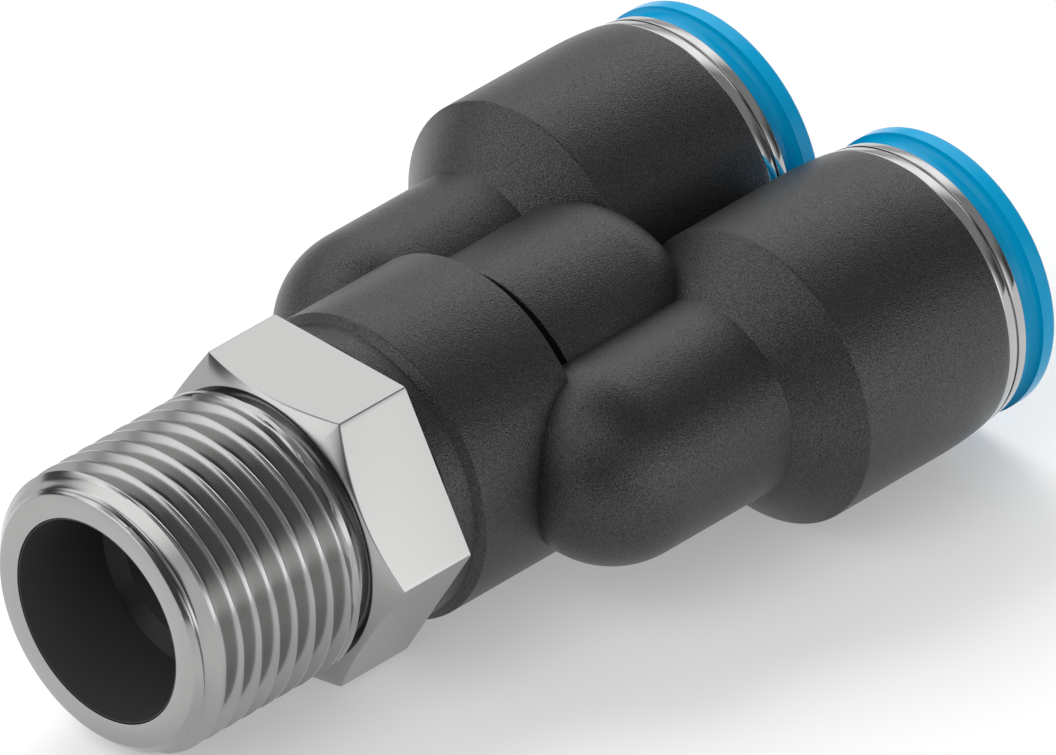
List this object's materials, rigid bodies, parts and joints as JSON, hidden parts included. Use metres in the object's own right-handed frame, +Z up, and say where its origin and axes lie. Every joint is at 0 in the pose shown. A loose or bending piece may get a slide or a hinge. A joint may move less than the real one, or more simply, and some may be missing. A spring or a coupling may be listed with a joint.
{
  "type": "tubing y connector",
  "caption": "Push-in tubing Y connector: a swivelling male-threaded metal stud feeds parallel plastic tube sockets with release rings.",
  "frame": {"origin": "centre of the thread's end face, on the run's axis", "axes": "+X along the run from the threaded end to the tube ports, +Y towards the left port, +Z up"},
  "size_m": [0.0557, 0.035, 0.018],
  "materials": {
    "body_plastic": "fine spark-eroded grain",
    "plated_brass": "turned and nickel-plated",
    "polished_collar": "polished, nickel-plated",
    "seal_rubber": "matt",
    "washer_plastic": "moulded",
    "ring_plastic": "smooth moulded",
    "stainless_steel": "stamped or drawn"
  },
  "bodies": {
    "body": {"y_body": "body_plastic", "stud_retaining_ring": "stainless_steel", "tube_seal_left": "seal_rubber", "tube_seal_right": "seal_rubber", "seal_washer_left": "washer_plastic", "seal_washer_right": "washer_plastic", "port_collar_left": "polished_collar", "port_collar_right": "polished_collar"},
    "stud": {"threaded_stud": "plated_brass", "stud_o_ring": "seal_rubber"},
    "ring_left": {"release_ring_left": "ring_plastic", "grip_teeth_left": "stainless_steel"},
    "ring_right": {"release_ring_right": "ring_plastic", "grip_teeth_right": "stainless_steel"}
  },
  "joints": [
    {"name": "stud_swivel", "type": "hinge", "parent": "body", "child": "stud", "pos_m": [0, 0, 0], "axis": [1, 0, 0], "continuous": true},
    {"name": "release_left", "type": "slide", "parent": "body", "child": "ring_left", "axis": [-1, 0, 0], "range_m": [0, 0.0009], "stiffness_N_per_m": 300, "springref_m": -0.0005},
    {"name": "release_right", "type": "slide", "parent": "body", "child": "ring_right", "axis": [-1, 0, 0], "range_m": [0, 0.0009], "stiffness_N_per_m": 300, "springref_m": -0.0005}
  ]
}
